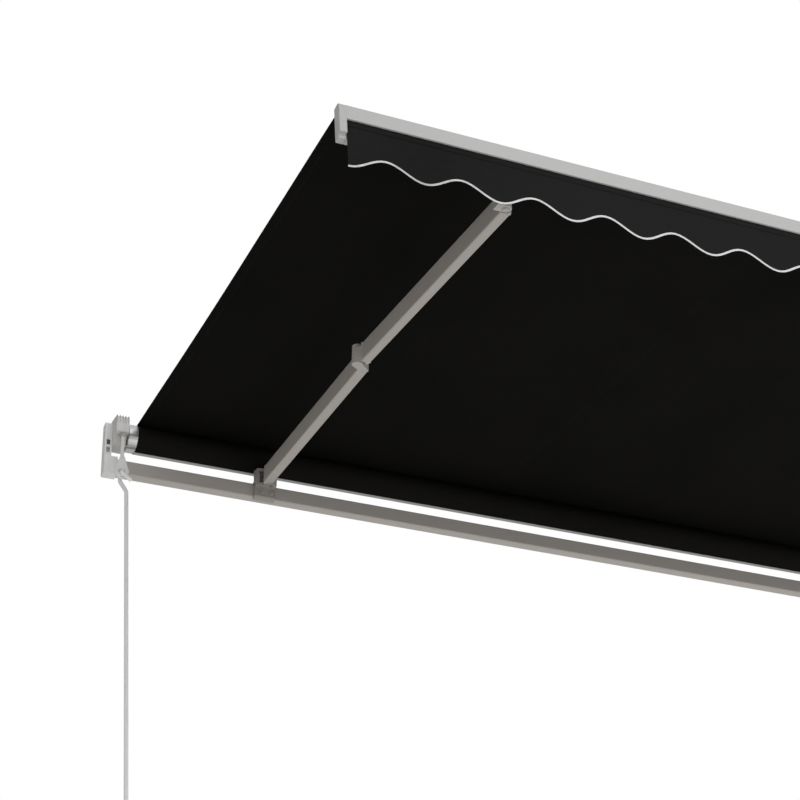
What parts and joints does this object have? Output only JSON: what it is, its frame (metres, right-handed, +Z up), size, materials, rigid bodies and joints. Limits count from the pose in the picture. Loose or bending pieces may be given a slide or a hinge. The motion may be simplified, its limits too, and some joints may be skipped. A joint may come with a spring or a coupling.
{
  "type": "folding-arm awning",
  "caption": "Retractable canvas awning, extended: torsion bar, roller with worm gearbox, spring-loaded folding arms, front bar with scalloped valance, and a hook-on crank.",
  "frame": {"origin": "middle of the torsion bar's back face, where a wall bracket clamps it", "axes": "+X along the roller, to the right seen from the front; +Y towards the wall; +Z up"},
  "size_m": [3.0339, 1.4305, 1.5233],
  "materials": {
    "bar_paint": "satin grey paint",
    "front_bar_paint": "pale grey powder coat",
    "cast_paint": "pale grey paint on castings",
    "gearbox_paint": "pale grey paint",
    "roller_metal": "plain metal, softly polished",
    "steel": "plated steel",
    "worm_wheel_metal": "machined bronze",
    "plastic": "moulded plastic",
    "canvas": "near-black woven canvas",
    "trim": "white woven edging"
  },
  "bodies": {
    "frame": {"torsion_bar": "bar_paint", "idle_bush": "plastic", "gear_case": "gearbox_paint", "gear_cover": "gearbox_paint", "gear_screw_1": "steel", "gear_screw_2": "steel", "gear_screw_3": "steel", "canopy": "canvas", "left_end_bracket": "cast_paint", "left_shoulder_bracket": "cast_paint", "left_bracket_bolt_1": "steel", "left_bracket_bolt_2": "steel", "left_shoulder_pin": "steel", "right_end_bracket": "cast_paint", "right_shoulder_bracket": "cast_paint", "right_bracket_bolt_1": "steel", "right_bracket_bolt_2": "steel", "right_shoulder_pin": "steel"},
    "roller": {"roller_tube": "roller_metal", "fabric_roll": "canvas", "worm_wheel": "worm_wheel_metal", "left_roller_cap": "roller_metal", "right_roller_cap": "roller_metal"},
    "worm": {"worm_eye": "gearbox_paint"},
    "crank": {"crank_rod": "gearbox_paint", "crank_end_stop": "plastic"},
    "shaft_grip": {"crank_shaft_grip": "plastic"},
    "handle_grip": {"crank_handle_grip": "plastic"},
    "front_bar": {"front_bar": "front_bar_paint", "canopy_keder": "plastic", "valance_keder": "plastic", "valance": "canvas", "valance_trim": "trim", "left_front_cap": "front_bar_paint", "left_front_bracket": "cast_paint", "left_front_pin": "steel", "right_front_cap": "front_bar_paint", "right_front_bracket": "cast_paint", "right_front_pin": "steel"},
    "left_rear_arm": {"left_shoulder_knuckle": "cast_paint", "left_rear_tube": "bar_paint", "left_elbow_fork": "cast_paint", "left_elbow_pin": "steel"},
    "left_front_arm": {"left_elbow_tongue": "cast_paint", "left_front_tube": "bar_paint", "left_front_knuckle": "cast_paint", "left_arm_spring": "steel", "left_pull_rod": "steel"},
    "right_rear_arm": {"right_shoulder_knuckle": "cast_paint", "right_rear_tube": "bar_paint", "right_elbow_fork": "cast_paint", "right_elbow_pin": "steel"},
    "right_front_arm": {"right_elbow_tongue": "cast_paint", "right_front_tube": "bar_paint", "right_front_knuckle": "cast_paint", "right_arm_spring": "steel", "right_pull_rod": "steel"}
  },
  "joints": [
    {"name": "left_shoulder", "type": "hinge", "parent": "frame", "child": "left_rear_arm", "pos_m": [-1.0861, -0.054, 0.0247], "axis": [0, -0.1639, 0.9865], "range_deg": [0, 82], "deforming": ["canopy"]},
    {"name": "left_elbow", "type": "hinge", "parent": "left_rear_arm", "child": "left_front_arm", "pos_m": [-1.1201, -0.716, -0.08527], "axis": [0, -0.1639, 0.9865], "range_deg": [-164, 0]},
    {"name": "left_front_pivot", "type": "hinge", "parent": "left_front_arm", "child": "front_bar", "pos_m": [-1.0861, -1.378, -0.19524], "axis": [0, -0.1639, 0.9865], "range_deg": [0, 82]},
    {"name": "right_shoulder", "type": "hinge", "parent": "frame", "child": "right_rear_arm", "pos_m": [1.0861, -0.054, 0.0247], "axis": [0, -0.1639, 0.9865], "range_deg": [-82, 0]},
    {"name": "right_elbow", "type": "hinge", "parent": "right_rear_arm", "child": "right_front_arm", "pos_m": [1.1201, -0.716, -0.08527], "axis": [0, -0.1639, 0.9865], "range_deg": [0, 164]},
    {"name": "roller_spin", "type": "hinge", "parent": "frame", "child": "roller", "pos_m": [0, -0.014, 0.0919], "axis": [1, 0, 0], "range_deg": [-1760, 0]},
    {"name": "worm_spin", "type": "hinge", "parent": "frame", "child": "worm", "pos_m": [-1.4621, -0.055, 0.0919], "axis": [0, 0, 1], "continuous": true},
    {"name": "crank_swing", "type": "hinge", "parent": "worm", "child": "crank", "pos_m": [-1.4621, -0.055, -0.03777], "axis": [0, 1, 0], "range_deg": [-25, 25]},
    {"name": "shaft_grip_spin", "type": "hinge", "parent": "crank", "child": "shaft_grip", "pos_m": [-1.40797, -0.055, -1.08644], "axis": [-0.0401, 0, 0.9992], "continuous": true},
    {"name": "handle_grip_spin", "type": "hinge", "parent": "crank", "child": "handle_grip", "pos_m": [-1.51633, -0.055, -1.37873], "axis": [-0.0401, 0, 0.9992], "continuous": true}
  ],
  "couplings": [
    {"joint": "left_elbow", "follows": "left_shoulder", "ratio": -2},
    {"joint": "left_front_pivot", "follows": "left_shoulder", "ratio": 1},
    {"joint": "right_shoulder", "follows": "left_shoulder", "ratio": -1},
    {"joint": "right_elbow", "follows": "left_shoulder", "ratio": 2},
    {"joint": "roller_spin", "follows": "left_shoulder", "ratio": -21.4}
  ]
}
